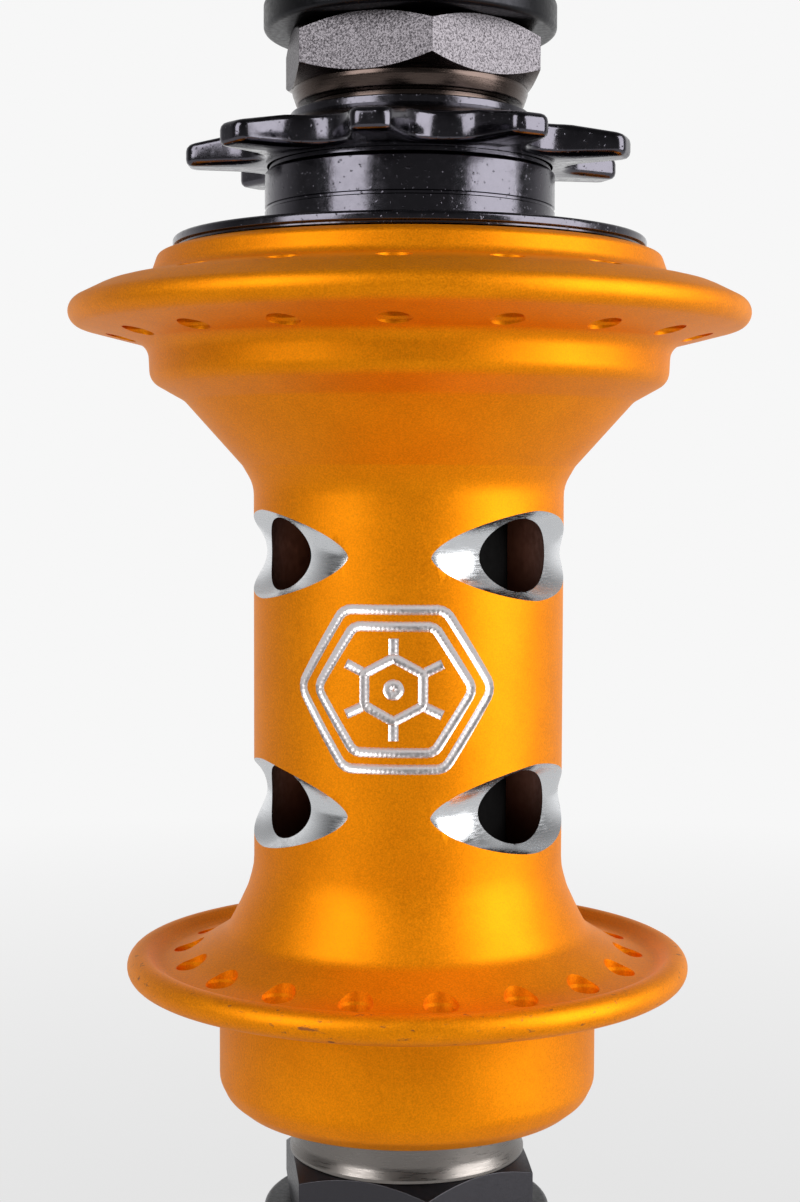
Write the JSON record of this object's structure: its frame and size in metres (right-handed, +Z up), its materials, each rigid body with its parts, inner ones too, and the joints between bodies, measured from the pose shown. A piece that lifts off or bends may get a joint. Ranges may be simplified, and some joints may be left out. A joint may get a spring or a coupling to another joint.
{
  "type": "rear bicycle hub",
  "caption": "Rear cassette hub for a small-wheeled bike: flanged spool shell with windows, one-piece sprocket driver, pawl freewheel, sealed bearings and a solid axle.",
  "frame": {"origin": "middle of the lower, non-drive end of the axle, on the surface that the hub stands on", "axes": "+Z up along the axle towards the drive side; -Y faces the viewer"},
  "size_m": [0.0632, 0.0632, 0.17],
  "materials": {
    "anodised_shell": "bead-blasted aluminium, satin orange anodised",
    "black_driver": "glossy black coated steel",
    "dark_steel": "dark oxide steel, fine speckle on the flats",
    "machined_steel": "turned bare steel",
    "black_washer": "satin black oxide",
    "black_nut": "satin black oxide",
    "black_axle": "black oxide chromoly",
    "ground_steel": "ground hardened steel",
    "spring_steel": "blued spring steel",
    "bearing_steel": "polished bearing steel",
    "seal_rubber": "matt black rubber",
    "sleeve_aluminium": "turned aluminium"
  },
  "bodies": {
    "axle_set": {"axle": "black_axle", "centre_sleeve": "sleeve_aluminium", "driver_stop_sleeve": "sleeve_aluminium", "driver_bearing_sleeve": "sleeve_aluminium", "drive_cone_nut": "dark_steel", "plain_cone_nut": "dark_steel", "plain_spacer": "machined_steel", "drive_axle_washer": "black_washer", "plain_axle_washer": "black_washer", "drive_axle_nut": "black_nut", "plain_axle_nut": "black_nut", "shell_plain_bearing_inner_race": "bearing_steel", "shell_drive_bearing_inner_race": "bearing_steel", "driver_inner_bearing_inner_race": "bearing_steel", "driver_outer_bearing_inner_race": "bearing_steel"},
    "driver": {"driver": "black_driver", "driver_dust_shield": "black_driver", "pawl_retainer": "dark_steel", "pawl_spring_1": "spring_steel", "pawl_spring_2": "spring_steel", "pawl_spring_3": "spring_steel", "pawl_spring_4": "spring_steel", "driver_inner_bearing_outer_race": "bearing_steel", "driver_inner_bearing_lower_seal": "seal_rubber", "driver_inner_bearing_upper_seal": "seal_rubber", "driver_outer_bearing_outer_race": "bearing_steel", "driver_outer_bearing_lower_seal": "seal_rubber", "driver_outer_bearing_upper_seal": "seal_rubber"},
    "shell": {"hub_shell": "anodised_shell", "ratchet_ring": "ground_steel", "shell_plain_bearing_outer_race": "bearing_steel", "shell_plain_bearing_lower_seal": "seal_rubber", "shell_plain_bearing_upper_seal": "seal_rubber", "shell_drive_bearing_outer_race": "bearing_steel", "shell_drive_bearing_lower_seal": "seal_rubber", "shell_drive_bearing_upper_seal": "seal_rubber"},
    "pawl_1": {"pawl_1": "ground_steel"},
    "pawl_2": {"pawl_2": "ground_steel"},
    "pawl_3": {"pawl_3": "ground_steel"},
    "pawl_4": {"pawl_4": "ground_steel"},
    "shell_plain_cage": {"shell_plain_bearing_ball_cage": "bearing_steel"},
    "shell_drive_cage": {"shell_drive_bearing_ball_cage": "bearing_steel"},
    "driver_inner_cage": {"driver_inner_bearing_ball_cage": "bearing_steel"},
    "driver_outer_cage": {"driver_outer_bearing_ball_cage": "bearing_steel"}
  },
  "joints": [
    {"name": "driver_spin", "type": "hinge", "parent": "axle_set", "child": "driver", "pos_m": [0, 0, 0.085], "axis": [0, 0, 1], "continuous": true},
    {"name": "freewheel", "type": "hinge", "parent": "driver", "child": "shell", "pos_m": [0, 0, 0.085], "axis": [0, 0, 1], "continuous": true},
    {"name": "pawl_1_hinge", "type": "hinge", "parent": "driver", "child": "pawl_1", "pos_m": [0.01334, 0.00594, 0.1138], "axis": [0, 0, 1], "range_deg": [-10, 0], "stiffness_Nm_per_rad": 0.005, "springref_deg": 20.05},
    {"name": "pawl_2_hinge", "type": "hinge", "parent": "driver", "child": "pawl_2", "pos_m": [-0.00594, 0.01334, 0.1138], "axis": [0, 0, 1], "range_deg": [-10, 0], "stiffness_Nm_per_rad": 0.005, "springref_deg": 20.05},
    {"name": "pawl_3_hinge", "type": "hinge", "parent": "driver", "child": "pawl_3", "pos_m": [-0.01334, -0.00594, 0.1138], "axis": [0, 0, 1], "range_deg": [-10, 0], "stiffness_Nm_per_rad": 0.005, "springref_deg": 20.05},
    {"name": "pawl_4_hinge", "type": "hinge", "parent": "driver", "child": "pawl_4", "pos_m": [0.00594, -0.01334, 0.1138], "axis": [0, 0, 1], "range_deg": [-10, 0], "stiffness_Nm_per_rad": 0.005, "springref_deg": 20.05},
    {"name": "shell_plain_cage_spin", "type": "hinge", "parent": "axle_set", "child": "shell_plain_cage", "pos_m": [0, 0, 0.0445], "axis": [0, 0, 1], "continuous": true},
    {"name": "shell_drive_cage_spin", "type": "hinge", "parent": "axle_set", "child": "shell_drive_cage", "pos_m": [0, 0, 0.1028], "axis": [0, 0, 1], "continuous": true},
    {"name": "driver_inner_cage_spin", "type": "hinge", "parent": "axle_set", "child": "driver_inner_cage", "pos_m": [0, 0, 0.1121], "axis": [0, 0, 1], "continuous": true},
    {"name": "driver_outer_cage_spin", "type": "hinge", "parent": "axle_set", "child": "driver_outer_cage", "pos_m": [0, 0, 0.1279], "axis": [0, 0, 1], "continuous": true}
  ],
  "couplings": [
    {"joint": "pawl_2_hinge", "follows": "pawl_1_hinge", "ratio": 1},
    {"joint": "pawl_3_hinge", "follows": "pawl_1_hinge", "ratio": 1},
    {"joint": "pawl_4_hinge", "follows": "pawl_1_hinge", "ratio": 1},
    {"joint": "shell_plain_cage_spin", "follows": "driver_spin", "ratio": 0.5813},
    {"joint": "shell_drive_cage_spin", "follows": "driver_spin", "ratio": 0.5813},
    {"joint": "driver_inner_cage_spin", "follows": "driver_spin", "ratio": 0.5621},
    {"joint": "driver_outer_cage_spin", "follows": "driver_spin", "ratio": 0.5621}
  ]
}
